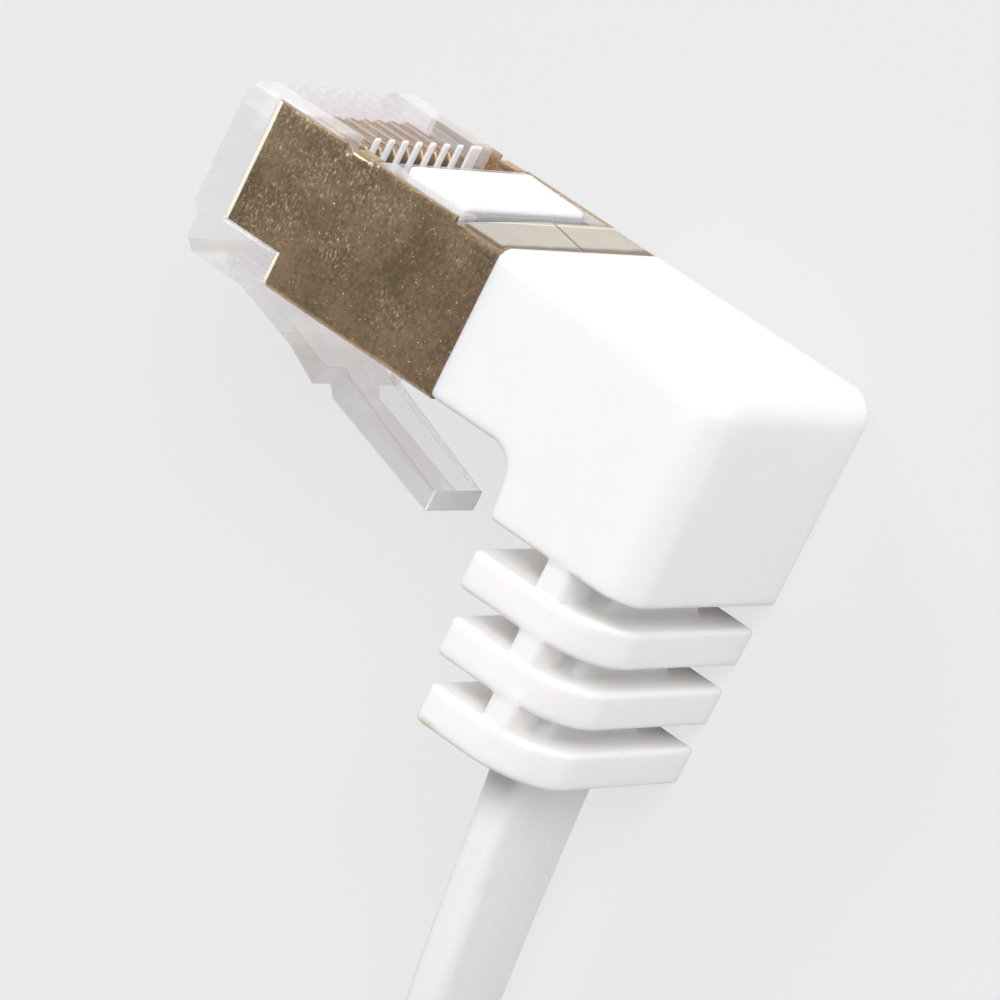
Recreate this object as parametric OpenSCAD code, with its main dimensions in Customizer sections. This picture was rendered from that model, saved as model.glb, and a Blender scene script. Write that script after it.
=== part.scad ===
// Patch cable: a shielded eight-way modular plug in an angled moulded boot on a flat cable.
// A second plug of the same make is on the far end, and the cable is put away as a flat coil.
// Each plug is drawn in its own frame: x towards the nose, y towards the latch, z across,
// with x = 0 where the boot starts, y = 0 on the contact face and z = 0 in the middle.

/* [Plug] */
// Width of the plug over its shield
plug_w = 11.68; // [11.2:0.02:14.1]
// Height of the plug from contact face to latch face
plug_h = 6.65; // [6.2:0.05:8]
// Length of the plug in front of the boot
plug_len = 13.3; // [12.6:0.1:16]
// Thickness of the shield's sheet metal
shield_t = 0.25; // [0.2:0.01:0.3]
// How far the nose stands out in front of the shield
nose_len = 1.65; // [1.2:0.05:2]
// Height of the shield's notch at the lower front corner
notch_h = 1.5; // [1:0.05:2]
// Length of the shield's notch at the lower front corner
notch_len = 2.8; // [2.4:0.05:3.4]
// Length of the shield's band over the contact face
band_len = 2.4; // [2:0.05:2.8]
// Gap at the seam of the band
seam = 0.08; // [0.04:0.01:0.2]
// How far the latch block stands below the plug
block_drop = 0.5; // [0.3:0.05:0.6]
// How far the latch block's front lies behind the nose
block_back = 0.4; // [0.2:0.05:0.6]
// Gap between pieces that fit together
fit = 0.03; // [0.02:0.01:0.05]

/* [Contacts] */
// Distance between neighbouring contacts
contact_pitch = 1.02; // [0.85:0.01:1.06]
// Thickness of a contact blade
blade_t = 0.4; // [0.3:0.01:0.45]
// Gap on each side of a blade in its slot
blade_gap = 0.05; // [0.03:0.01:0.08]
// Length of the comb of slots, from the nose back
comb_len = 4.8; // [4.4:0.1:5.4]
// How far the comb stands above the shield's edge
comb_rise = 0.14; // [0.05:0.01:0.18]
// Depth of the blades' top edges below the comb
blade_depth = 0.6; // [0.4:0.05:0.8]
// How far the blades' front ends lie behind the nose
blade_back = 1.4; // [1:0.05:1.8]
// Length of the open trough behind the comb
trough_len = 1.7; // [1.2:0.05:2]
// Depth of the trough below the shield's edge
trough_h = 1.3; // [1:0.05:1.6]
// Width of the clamp pad behind the trough
pad_w = 8.9; // [8.4:0.05:9.6]
// Length of the clear frame between the clamp pad and the trough
pad_frame = 0.85; // [0.5:0.05:1]
// How far the clamp pad's rear edge stands above the shield's edge
pad_rise = 0.2; // [0.18:0.02:0.3]
// How much higher its front edge stands
pad_tilt = 0.13; // [0:0.01:0.15]
// Depth of the clamp pad's seat
pad_seat = 0.6; // [0.4:0.05:0.8]

/* [Latch] */
// Distance of the latch's hinge line behind the nose
hinge_back = 1.4; // [1.2:0.05:1.6]
// Depth of the hinge line below the plug's latch face
hinge_drop = 0.8; // [0.7:0.05:0.9]
// Slope of the latch at rest
latch_slope = 15.5; // [13:0.5:18.5]
// Thickness of the latch arm
arm_t = 0.64; // [0.5:0.02:0.76]
// Width of the latch arm
arm_w = 6.2; // [5.2:0.05:7.5]
// Length of the latch arm up to its locking step
arm_len = 5.9; // [5:0.1:7]
// Height of the locking step under the arm
step_h = 0.33; // [0.2:0.01:0.4]
// Width of the thumb tab
tab_w = 3.6; // [2.7:0.02:3.9]
// Length from the hinge line to the end of the thumb tab
tab_len = 12.4; // [10.3:0.1:12.4]
// Depth of the thumb tab's outer face below the middle of the arm
tab_drop = 0.96; // [0.8:0.02:1.1]
// Thickness of the thumb tab at its end
tab_t = 0.84; // [0.7:0.02:0.9]
// Gap round the latch's hinge bead and beside its arm
latch_gap = 0.06; // [0.04:0.01:0.1]

/* [Boot] */
// How far the boot stands proud of the shield on each side
boot_proud = 0.05; // [0.02:0.01:0.3]
// Length of the boot behind the shield
boot_len = 11.54; // [10:0.02:14]
// How far the boot's neck stays above the plug's latch face
neck_rise = 0.1; // [0:0.01:0.2]
// How far the boot's rear reaches below its neck
boot_drop = 2.65; // [2.2:0.05:3.2]
// Length of the boot's neck
neck_len = 4.3; // [4.2:0.05:4.9]
// Inside radius under the neck
neck_round = 1.1; // [0.6:0.05:1.6]
// Radius of the boot's rear corner on the side that shows
rear_round = 1.6; // [1:0.1:2.2]
// Radius of the rear corners of the boot and the ribs on the other side
edge_round = 0.2; // [0.2:0.05:1]
// Radius of the boot's upper edges
top_round = 0.8; // [0.4:0.05:1.1]
// Thickness of the boot's wall
boot_wall = 1.2; // [1:0.05:1.3]

/* [Strain relief] */
// Number of ribs
rib_count = 3; // [2:1:5]
// Thickness of a rib
rib_t = 1.65; // [1.1:0.05:1.8]
// Distance between neighbouring ribs
rib_pitch = 2.7; // [2.3:0.02:3.2]
// Gap between the boot and the first rib
rib_gap = 1.3; // [0.9:0.05:1.8]
// Distance of the first rib's front from the shield
rib_front = 4.65; // [4:0.05:5]
// How much further back each rib's front lies than the last
rib_step = 0.45; // [0:0.05:0.5]
// Distance of the ribs' rear from the boot's rear
rib_inset = 0.3; // [0:0.05:0.5]
// Radius of the ribs' rear corners on the side that shows
rib_round = 3; // [1.5:0.1:3.4]
// Radius of the ribs' front corners
rib_nose = 0.6; // [0.3:0.05:0.8]
// Thickness of the web between the ribs
web_t = 1.2; // [0.9:0.05:1.6]
// Thickness of the wall round the cable between the ribs
sleeve_wall = 0.4; // [0.3:0.05:1.1]

/* [Cable] */
// Width of the flat cable
cable_w = 6.2; // [5.1:0.05:7.5]
// Thickness of the flat cable
cable_t = 1.6; // [1.3:0.05:1.95]
// Distance of the cable's middle from the boot's rear
cable_in = 2.94; // [2.7:0.02:3.3]
// Diameter of an insulated wire
wire_d = 0.7; // [0.58:0.02:0.78]
// Distance between neighbouring wires in the cable
wire_pitch = 0.72; // [0.6:0.01:0.86]
// Gap round a wire in its bore
wire_gap = 0.05; // [0.03:0.01:0.06]
// Depth of the wires below the contact face
wire_y = 3.2; // [3:0.05:3.5]

/* [Coil] */
// Radius of the coil's outermost turn
coil_radius = 35.8; // [34:0.1:44]
// Distance from one turn of the coil to the next
coil_pitch = 2.25; // [2.2:0.05:2.6]
// Height of the coil's lower edge above the table
coil_lift = 0.6; // [0.6:0.05:1]
// Radius of the bend from the inner turn to the far plug
tail_radius = 13; // [12:0.5:14]
// Thickness of the ties
tie_t = 0.45; // [0.3:0.05:0.45]
// Width of the ties
tie_w = 3; // [2:0.1:4]
// Gap between the ties and the cable
tie_gap = 0.1; // [0.05:0.05:0.1]

/* [Hidden] */
// How far a cutter reaches past the face that it cuts
over = 1;

// The shield, nose and latch block along the plug
shield_len = plug_len - nose_len;
comb_x = plug_len - comb_len;
frame_end = comb_x - trough_len;
pad_front = frame_end - pad_frame;
pad_back = band_len + 0.5;
pad_ledge = 0.4;
pad_foot_y = wire_y - wire_d / 2 - fit;
block_x = plug_len - block_back;
block_y = plug_h + block_drop;
notch_y = plug_h - notch_h;
notch_x = shield_len - notch_len;
core_w = plug_w - 2 * (shield_t + fit);
slot_w = blade_t + 2 * blade_gap;
blade_x0 = comb_x + 0.25;
blade_x1 = plug_len - blade_back;
blade_foot = 1.95;
wire_end = plug_len - 2.5;

// The latch
hinge_x = plug_len - hinge_back;
hinge_y = plug_h + hinge_drop;
bead_r = arm_t / 2;
recess_w = arm_w + 4 * latch_gap;

// The boot, and what it holds: the housing's boss, the shield's tail and the inner mould
boot_w = plug_w + 2 * boot_proud;
neck_h = plug_h - neck_rise;
boot_h = neck_h + boot_drop;
cable_back = boot_len - cable_in;
tail_w = 7;
tail_len = 4;
tail_y = neck_h - boot_wall - shield_t;
boss_len = 2.5;
cavity_w = boot_w - 2 * boot_wall;
cavity_y = neck_h - boot_wall + fit;
cavity_x = -boot_len + 1.6;
pit_x = -neck_len - boot_wall;
pit_y = boot_h - 0.85;
wire_bend = 1.5;

// The strain relief and the whole plug's box
relief_end = boot_h + rib_gap + (rib_count - 1) * rib_pitch + rib_t;
plug_mid_x = (plug_len - boot_len) / 2;
plug_mid_y = (relief_end - pad_rise - pad_tilt) / 2;
cable_z = boot_w / 2;
near_exit = [-cable_back - plug_mid_x, relief_end - plug_mid_y, cable_z];

// The free lead from the end of the near strain relief to the coil: sideways, out, and share of its drop
lead_route = [[0, 0, 0], [-0.3, 3, 0], [-0.9, 10, 0.1], [-1.7, 19, 0.4], [-2.8, 28, 0.8], [-4.2, 38, 1]];
coil_z = coil_lift + cable_w / 2;
lead_points = [for (p = lead_route) near_exit + [p.x, p.y, p.z * (coil_z - cable_z)]];
lead_end = lead_points[len(lead_points) - 1];

// The coil's turns: it starts in line with the lead's end and winds inwards
coil_turns = 4.63;
coil_steps = 24;
coil_start = 8;
coil_mid = lead_end - coil_radius * [cos(coil_start), sin(coil_start), 0];
coil_stop = coil_start + 360 * coil_turns;
coil_inner = coil_radius - coil_pitch * coil_turns;

// The tail bends in from the inner turn and climbs into the far plug, which lies inside the coil
tail_turn = 125.2;
tail_run = 3;
tail_stop = coil_stop + tail_turn;
tail_mid = coil_mid + (coil_inner - tail_radius) * [cos(coil_stop), sin(coil_stop), 0];
tail_dir = [-sin(tail_stop), cos(tail_stop), 0];
tail_out = tail_mid + tail_radius * [cos(tail_stop), sin(tail_stop), 0];
far_exit = tail_out + tail_run * tail_dir + [0, 0, cable_z - coil_z];
far_turn = tail_stop + 180;

// Where the ties go round the coil
tie_angles = [150, 300];

ENDS = ["near", "far"];
PIECES = ["housing", "latch", "shield", "clamp_pad", "inner_mould", "boot"];
WAYS = [1, 2, 3, 4, 5, 6, 7, 8];

WIRE_COLOURS = ["moccasin", "darkorange", "honeydew", "royalblue", "aliceblue", "seagreen", "linen", "sienna"];
CLEAR = [0.85, 0.87, 0.88, 0.6];
$fn = 64;

// Places a piece, drawn in the plug's frame, at the near or the far end
module at_end(end) {
    if (end == "near")
        translate([-plug_mid_x, -plug_mid_y, cable_z]) children();
    else
        translate(far_exit)
            rotate([0, 0, far_turn])
                translate([cable_back, -relief_end, 0]) children();
}

// A plate of the given width across the plug, from its outline seen from the side
module across(width) {
    linear_extrude(height = width, center = true) children();
}

// A box between two corners in x and y, centred across the plug
module slab(x0, x1, y0, y1, width) {
    translate([x0, y0, -width / 2]) cube([x1 - x0, y1 - y0, width]);
}

// An outline seen from the contact face, standing from y0 to y1
module standing(y0, y1) {
    translate([0, y1, 0]) rotate([90, 0, 0]) linear_extrude(height = y1 - y0) children();
}

// What a round corner at the origin takes off
module corner_waste(radius) {
    difference() {
        translate([-over, -over]) square(radius + over);
        translate([radius, radius]) circle(radius);
    }
}

// A rectangle seen from the contact face, with a radius for each rear corner and one for the front
module plan(x_rear, x_front, width, r_near, r_far, r_front) {
    half = width / 2;
    difference() {
        translate([x_rear, -half]) square([x_front - x_rear, width]);
        translate([x_rear, half]) mirror([0, 1]) corner_waste(r_near);
        translate([x_rear, -half]) corner_waste(r_far);
        if (r_front > 0) {
            translate([x_front, half]) rotate(180) corner_waste(r_front);
            translate([x_front, -half]) mirror([1, 0]) corner_waste(r_front);
        }
    }
}

// Place of a contact or wire across the plug or the cable, counted from one
function way_z(i, pitch) = (i - (len(WAYS) + 1) / 2) * pitch;

// Clear housing: the body inside the shield, the nose, the latch block and the boss inside the boot
module housing() {
    body_top = shield_t + fit;
    body_foot = plug_h - shield_t - fit;
    nose_x = shield_len + fit;
    nose_edge = 0.3;
    nose_foot = notch_y + 0.15;
    block_edge = 0.5;
    block_rear = notch_x + 0.8;
    color(CLEAR) difference() {
        union() {
            across(core_w) polygon([
                [0, body_top], [band_len + fit, body_top], [band_len + fit, 0], [frame_end, 0],
                [frame_end, trough_h], [comb_x, trough_h], [comb_x, -comb_rise], [nose_x, -comb_rise],
                [nose_x, body_foot], [0, body_foot]
            ]);
            across(plug_w) polygon([
                [nose_x, -comb_rise], [plug_len - nose_edge, -comb_rise], [plug_len, nose_edge - comb_rise],
                [plug_len, nose_foot], [block_x, nose_foot + block_back], [block_x, block_y - block_edge],
                [block_x - block_edge, block_y], [block_rear, block_y], [notch_x + fit, plug_h],
                [notch_x + fit, notch_y + fit], [nose_x, notch_y + fit]
            ]);
            slab(hinge_x, block_x - block_edge, block_y - block_edge, hinge_y + bead_r / 3, arm_w);
            slab(-boss_len, 0, boot_wall + fit, tail_y - fit, cavity_w - 2 * fit);
        }
        for (i = WAYS) translate([0, 0, way_z(i, contact_pitch)]) {
            slab(comb_x - over, plug_len + over, -over, blade_foot + fit, slot_w);
            slab(blade_x0 - fit, blade_x1 + fit, 0, wire_y, slot_w);
            translate([-boss_len - over, wire_y, 0]) rotate([0, 90, 0])
                cylinder(d = wire_d + 2 * wire_gap, h = boss_len + over + wire_end);
        }
        slab(pad_back - fit, pad_front + fit, -over, pad_seat, pad_w + 2 * fit);
        slab(pad_back + pad_ledge, pad_front - pad_ledge, 0, wire_y, pad_w - 2 * pad_ledge);
        slab(notch_x - over, hinge_x, plug_h + 0.1, hinge_y + over, recess_w);
        translate([hinge_x, hinge_y, 0]) cylinder(r = bead_r + latch_gap, h = recess_w, center = true);
        slab(-over, shield_t + 2 * fit, tail_y - fit, plug_h, tail_w + 2 * fit);
    }
}

// Clear latch: an arm with a locking step, then a narrower thumb tab, turned to its slope at rest
module latch() {
    step_run = 1.9;
    tab_root = 0.6;
    tab_start = arm_len + 0.4;
    end_lean = tab_t * tan(latch_slope);
    color(CLEAR) translate([hinge_x, hinge_y, 0]) rotate([0, 0, 180 - latch_slope]) mirror([0, 1, 0]) {
        cylinder(r = bead_r, h = arm_w, center = true);
        across(arm_w) polygon([
            [0, -bead_r], [arm_len, -bead_r], [arm_len, bead_r + step_h], [arm_len - step_run, bead_r], [0, bead_r]
        ]);
        across(tab_w) polygon([
            [arm_len - tab_root, -bead_r], [arm_len, -bead_r], [tab_start, -bead_r * 2 / 3],
            [tab_len - end_lean / 2, tab_drop - tab_t], [tab_len + end_lean / 2, tab_drop], [tab_start, tab_drop],
            [arm_len, bead_r + step_h], [arm_len - tab_root, 0]
        ]);
    }
}

// Gold-plated shield: two sides, the latch face, a seamed band on the contact face and a tail
module shield() {
    side_z = plug_w / 2;
    lip_x0 = frame_end + fit;
    lip_x1 = comb_x - 0.8;
    lip_w = 1;
    nick_w = 0.5;
    nick_h = 0.3;
    flap_lag = 0.1;
    color("goldenrod") {
        for (side = [-1, 1]) {
            translate([0, 0, side * (side_z - shield_t / 2)]) across(shield_t) polygon([
                [0, 0], [lip_x1, 0], [lip_x1, nick_h], [lip_x1 + nick_w, nick_h], [lip_x1 + nick_w, 0],
                [shield_len, 0], [shield_len, notch_y], [notch_x, notch_y], [notch_x, plug_h], [0, plug_h]
            ]);
            translate([0, 0, side * (side_z - lip_w / 2)]) slab(lip_x0, lip_x1, 0, shield_t, lip_w);
            translate([0, 0, side * (side_z + seam / 2) / 2])
                slab(0, band_len - (side > 0 ? 0 : flap_lag), 0, shield_t, side_z - seam / 2);
        }
        difference() {
            slab(0, notch_x, plug_h - shield_t, plug_h, plug_w);
            slab(band_len, notch_x + over, plug_h - over, plug_h + over, recess_w);
        }
        slab(fit, fit + shield_t, tail_y, plug_h, tail_w);
        slab(-tail_len, fit + shield_t, tail_y, tail_y + shield_t, tail_w);
    }
}

// White clamp pad in the window of the contact face, with a foot that presses on the wires
module clamp_pad() {
    color("white") {
        across(pad_w) polygon([
            [pad_back, pad_seat - fit], [pad_back, -pad_rise], [pad_front, -pad_rise - pad_tilt],
            [pad_front, pad_seat - fit]
        ]);
        slab(pad_back + pad_ledge + fit, pad_front - pad_ledge - fit, 0, pad_foot_y, pad_w - 2 * (pad_ledge + fit));
    }
}

// Contact blade with two teeth that stand on its wire
module contact(i) {
    top = blade_depth - comb_rise;
    edge = 0.35;
    tooth_half = 0.3;
    tooth_x0 = blade_x0 + 0.9;
    tooth_x1 = blade_x1 - 0.9;
    color("darkgoldenrod") translate([0, 0, way_z(i, contact_pitch)]) across(blade_t) polygon([
        [blade_x0, top + edge], [blade_x0 + edge, top], [blade_x1 - edge, top], [blade_x1, top + edge],
        [blade_x1, blade_foot], [tooth_x1 + tooth_half, blade_foot], [tooth_x1, pad_foot_y],
        [tooth_x1 - tooth_half, blade_foot], [tooth_x0 + tooth_half, blade_foot], [tooth_x0, pad_foot_y],
        [tooth_x0 - tooth_half, blade_foot], [blade_x0, blade_foot]
    ]);
}

// One insulated wire: straight in the plug, closing up to the cable's spacing, then round the bend
module wire(i) {
    z0 = way_z(i, contact_pitch);
    z1 = way_z(i, wire_pitch);
    bend_x = wire_bend - cable_back;
    route = concat(
        [[wire_end - fit, wire_y, z0], [-boss_len, wire_y, z0]],
        [for (k = [1:3])
            [-boss_len + (bend_x + boss_len) * k / 4, wire_y, z0 + (z1 - z0) * (1 - cos(45 * k)) / 2]],
        [for (a = [0:30:90]) [bend_x - wire_bend * sin(a), wire_y + wire_bend * (1 - cos(a)), z1]],
        [[-cable_back, pit_y, z1]]
    );
    outline = [for (a = [22.5:45:359]) wire_d / 2 * [cos(a), sin(a)]];
    color(WIRE_COLOURS[i - 1]) sweep(route, outline, [-1, 0, 0], [0, 1, 0]);
}

// White inner mould: it fills the boot behind the housing, with a way through for the wires
module inner_mould() {
    room = wire_d / 2 + 0.15;
    row = way_z(len(WAYS), contact_pitch) * 2 + wire_d + 0.3;
    width = cavity_w - 2 * fit;
    bend_x = wire_bend - cable_back + wire_d;
    color("whitesmoke") difference() {
        union() {
            slab(cavity_x + fit, -boss_len - fit, boot_wall + fit, cavity_y - fit, width);
            slab(cavity_x + fit, pit_x - fit, boot_wall + fit, pit_y - fit, width);
        }
        slab(-cable_back, 0, wire_y - room, wire_y + room, row);
        slab(-cable_back - room, room - cable_back, wire_y - room, boot_h, row);
        slab(-cable_back - room, bend_x, wire_y - room, wire_y + wire_bend + wire_d, row);
        slab(-tail_len - fit, 0, tail_y - fit, neck_h, tail_w + 2 * fit);
    }
}

// The boot's block, rounded at the rear and along its upper edges, with the step under the neck
module boot_block() {
    rear_x = rear_round - boot_len;
    neck_x = neck_round - neck_len;
    edge_z = boot_w / 2 - top_round;
    intersection() {
        standing(-over, boot_h + over) plan(-boot_len, 0, boot_w, rear_round, edge_round, 0);
        across(boot_w + 2 * over) difference() {
            union() {
                translate([-boot_len, rear_round]) square([boot_len, boot_h - rear_round]);
                translate([rear_x, 0]) square([-rear_x, boot_h]);
                translate([rear_x, rear_round]) circle(rear_round);
            }
            translate([neck_x, neck_h]) square([over - neck_x, boot_h]);
            translate([-neck_len, neck_h + neck_round]) square([neck_len + over, boot_h]);
            translate([neck_x, neck_h + neck_round]) circle(neck_round);
        }
        translate([over, 0, 0]) rotate([0, -90, 0]) linear_extrude(height = boot_len + 2 * over) {
            translate([-boot_w / 2, top_round]) square([boot_w, boot_h]);
            translate([-edge_z, 0]) square([2 * edge_z, boot_h]);
            for (side = [-1, 1]) translate([side * edge_z, top_round]) circle(top_round);
        }
    }
}

// The strain relief: ribs on a thin web, with a sleeve round the cable
module strain_relief() {
    sink = 0.1;
    rear = rib_inset - boot_len;
    sleeve_t = cable_t + 2 * sleeve_wall;
    for (i = [0:rib_count - 1]) {
        top = boot_h + rib_gap + i * rib_pitch;
        front = -rib_front - rib_step * i;
        web_x = (front + rear + web_t) / 2 - rib_inset;
        standing(top, top + rib_t) plan(rear, front, boot_w, rib_round, edge_round, rib_nose);
        slab(web_x - web_t, web_x, top - (i == 0 ? rib_gap : rib_pitch - rib_t) - sink, top + sink, boot_w);
    }
    slab(-cable_back - sleeve_t / 2, sleeve_t / 2 - cable_back, boot_h - sink, relief_end - sink,
        cable_w + 2 * sleeve_wall);
}

// White angled boot with its strain relief, hollow for the inner mould and bored for the cable
module boot() {
    color("white") difference() {
        union() {
            boot_block();
            strain_relief();
        }
        slab(cavity_x, over, boot_wall, cavity_y, cavity_w);
        slab(cavity_x, pit_x, boot_wall, pit_y, cavity_w);
        standing(pit_y - fit, relief_end + over) translate([-cable_back, 0])
            square([cable_t + 2 * fit, cable_w + 2 * fit], center = true);
    }
}

// Sweeps a closed outline along points. An outline point is given upwards and to the left of the way.
function heading(route, k) = let (a = route[max(k - 1, 0)], b = route[min(k + 1, len(route) - 1)]) (b - a) / norm(b - a);
function ring(at, outline, u, v) = [for (p = outline) at + p[0] * u + p[1] * v];
function tube_faces(rings, sides) = concat(
    [for (k = [0:rings - 2], s = [0:sides - 1])
        let (a = k * sides + s, b = k * sides + (s + 1) % sides) [a, b, b + sides]],
    [for (k = [0:rings - 2], s = [0:sides - 1])
        let (a = k * sides + s, b = k * sides + (s + 1) % sides) [a, b + sides, a + sides]],
    [for (s = [1:sides - 2]) [0, s + 1, s]],
    [for (s = [1:sides - 2]) let (e = (rings - 1) * sides) [e, e + s, e + s + 1]]
);
module sweep(route, outline, first, last) {
    n = len(route);
    up = [0, 0, 1];
    ways = [for (k = [0:n - 1]) k == 0 ? first : (k == n - 1 ? last : heading(route, k))];
    rings = [for (k = [0:n - 1]) let (left = cross(up, ways[k])) ring(route[k], outline, up, left / norm(left))];
    polyhedron([for (r = rings, p = r) p], tube_faces(n, len(outline)));
}

// The flat cable's outline: its width goes up, its thickness sideways
flat_8 = [
    for (p = [[1, 0.45], [0.86, 1], [-0.86, 1], [-1, 0.45], [-1, -0.45], [-0.86, -1], [0.86, -1], [1, -0.45]])
        [p[0] * cable_w / 2, p[1] * cable_t / 2]
];
flat_6 = [
    for (p = [[1, 0], [0.8, 1], [-0.8, 1], [-1, 0], [-0.8, -1], [0.8, -1]]) [p[0] * cable_w / 2, p[1] * cable_t / 2]
];

// The lead, from its end inside the near boot to the start of the coil
module cable_lead() {
    route = concat([near_exit - [0, relief_end - pit_y, 0]], lead_points);
    color("white") sweep(route, flat_8, [0, 1, 0], [-sin(coil_start), cos(coil_start), 0]);
}

// The coil: one unbroken band on edge that winds inwards at a steady rate
coil_count = round(coil_turns * coil_steps);
function coil_angle(k) = coil_start + (coil_stop - coil_start) * k / coil_count;
function coil_point(k) =
    let (a = coil_angle(k), r = coil_radius + (coil_inner - coil_radius) * k / coil_count)
        coil_mid + r * [cos(a), sin(a), 0];
function coil_ring(k) = let (a = coil_angle(k)) ring(coil_point(k), flat_6, [0, 0, 1], [-cos(a), -sin(a), 0]);
coil_rings = [for (k = [0:coil_count]) coil_ring(k)];
coil_least_gap = min([
    for (k = [0:coil_count], j = [coil_steps - 4:coil_steps + 4])
        if (k + j <= coil_count)
            for (p = coil_rings[k], q = coil_rings[k + j]) norm(p - q)
]);
echo(coil_least_gap = coil_least_gap);
module cable_coil() {
    color("white") polyhedron([for (r = coil_rings, p = r) p], tube_faces(coil_count + 1, len(flat_6)));
}

// The tail, from the inner turn round a bend and up into the far boot
module cable_tail() {
    bend_steps = 8;
    rise = cable_z - coil_z;
    bend = [
        for (k = [0:bend_steps])
            let (a = coil_stop + tail_turn * k / bend_steps)
                tail_mid + tail_radius * [cos(a), sin(a), 0] + [0, 0, rise * (1 - cos(180 * k / bend_steps)) / 2]
    ];
    route = concat(bend, [far_exit, far_exit + (relief_end - pit_y) * tail_dir]);
    color("white") sweep(route, flat_8, [-sin(coil_stop), cos(coil_stop), 0], tail_dir);
}

// A tie: a flat band closed round the stack of turns
module tie(i) {
    angle = tie_angles[i - 1];
    past = (angle - coil_start) / 360;
    turns = floor(coil_turns - past);
    slack = cable_t / 2 + coil_pitch / 10 + tie_gap;
    outer = coil_radius - coil_pitch * past + slack;
    inner = coil_radius - coil_pitch * (past + turns) - slack;
    foot = coil_lift - tie_gap;
    head = coil_lift + cable_w + tie_gap;
    color("white") translate([coil_mid.x, coil_mid.y, 0]) rotate([0, 0, angle]) difference() {
        translate([inner - tie_t, -tie_w / 2, foot - tie_t])
            cube([outer - inner + 2 * tie_t, tie_w, head - foot + 2 * tie_t]);
        translate([inner, -tie_w, foot]) cube([outer - inner, 2 * tie_w, head - foot]);
    }
}

for (end = ENDS) {
    at_end(end) housing();
    at_end(end) latch();
    at_end(end) shield();
    at_end(end) clamp_pad();
    at_end(end) inner_mould();
    at_end(end) boot();
    for (i = WAYS) {
        at_end(end) contact(i);
        at_end(end) wire(i);
    }
}
cable_lead();
cable_coil();
cable_tail();
for (i = [1, 2]) tie(i);
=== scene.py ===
"""Looks of a shielded patch cable: two clear modular plugs in white angled boots on one flat white cable.

Pieces of a plug are modelled in millimetres in the plug's own frame, x towards the nose, y towards the
latch and z across, with x = 0 where the boot starts. They are then placed at both ends of the cable.
"""
import math

import bmesh
import bpy
import numpy as np
from mathutils import Matrix, Vector


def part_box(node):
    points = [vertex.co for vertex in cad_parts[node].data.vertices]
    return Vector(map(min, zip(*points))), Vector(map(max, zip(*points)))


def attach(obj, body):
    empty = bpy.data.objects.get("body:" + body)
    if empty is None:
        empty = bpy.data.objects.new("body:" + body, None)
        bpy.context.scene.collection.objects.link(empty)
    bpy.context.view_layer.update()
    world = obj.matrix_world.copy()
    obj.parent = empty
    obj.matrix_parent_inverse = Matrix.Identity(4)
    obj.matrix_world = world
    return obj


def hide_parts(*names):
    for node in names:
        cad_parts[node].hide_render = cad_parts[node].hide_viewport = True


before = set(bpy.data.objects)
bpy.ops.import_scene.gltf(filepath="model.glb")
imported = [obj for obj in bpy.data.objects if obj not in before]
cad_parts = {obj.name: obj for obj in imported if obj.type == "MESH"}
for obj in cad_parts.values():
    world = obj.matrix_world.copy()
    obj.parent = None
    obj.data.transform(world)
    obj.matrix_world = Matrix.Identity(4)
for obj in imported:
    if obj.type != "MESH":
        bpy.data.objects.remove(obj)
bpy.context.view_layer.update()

MM = 0.001
ENDS = ("near", "far")
WAYS = range(1, 9)
ROOT = "patch_cable"


# Where the two plugs lie

def middle(low, high):
    return (low + high) / 2


near_low, near_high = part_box("near_boot")
far_low, far_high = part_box("far_boot")
near_origin = Vector((near_high.x, near_low.y, middle(near_low, near_high).z))
far_origin = Vector((far_low.x, far_high.y, middle(far_low, far_high).z))
PLACES = {
    "near": Matrix.Translation(near_origin),
    "far": Matrix.Translation(far_origin) @ Matrix.Rotation(math.pi, 4, "Z"),
}


def plug_box(piece):
    """Lowest and highest corner of a piece of the near plug, in millimetres in the plug's frame."""
    low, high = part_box("near_" + piece)
    return (low - near_origin) / MM, (high - near_origin) / MM


BOOT_LOW, BOOT_HIGH = plug_box("boot")
SHIELD_HIGH = plug_box("shield")[1]
MOULD_LOW, MOULD_HIGH = plug_box("inner_mould")
WIRE_HIGH = plug_box("wire_1")[1]
PAD_LOW, PAD_HIGH = plug_box("clamp_pad")
NOSE_LOW, NOSE_HIGH = plug_box("housing")
LATCH_LOW, LATCH_HIGH = plug_box("latch")


# The camera, where the photograph was taken from

CAMERA_AT = near_origin + Vector((-126.72, -63.405, 238.45)) * MM
CAMERA_RIGHT = Vector((-0.73793, -0.43044, -0.51979))
CAMERA_UP = Vector((0.50472, -0.86328, -0.00166))
PHOTO_WIDTH = 1000
FOCAL_LENGTH_PIXELS = 7165.6


def make_camera():
    data = bpy.data.cameras.new("camera")
    data.sensor_width = 36
    data.lens = FOCAL_LENGTH_PIXELS / PHOTO_WIDTH * data.sensor_width
    data.clip_start = 0.01
    camera = bpy.data.objects.new("camera", data)
    back = CAMERA_RIGHT.cross(CAMERA_UP)
    turn = Matrix((CAMERA_RIGHT, CAMERA_UP, back)).transposed()
    camera.matrix_world = Matrix.Translation(CAMERA_AT) @ turn.to_4x4()
    bpy.context.scene.collection.objects.link(camera)
    bpy.context.scene.camera = camera


make_camera()


# Shader maths as Python expressions

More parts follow.
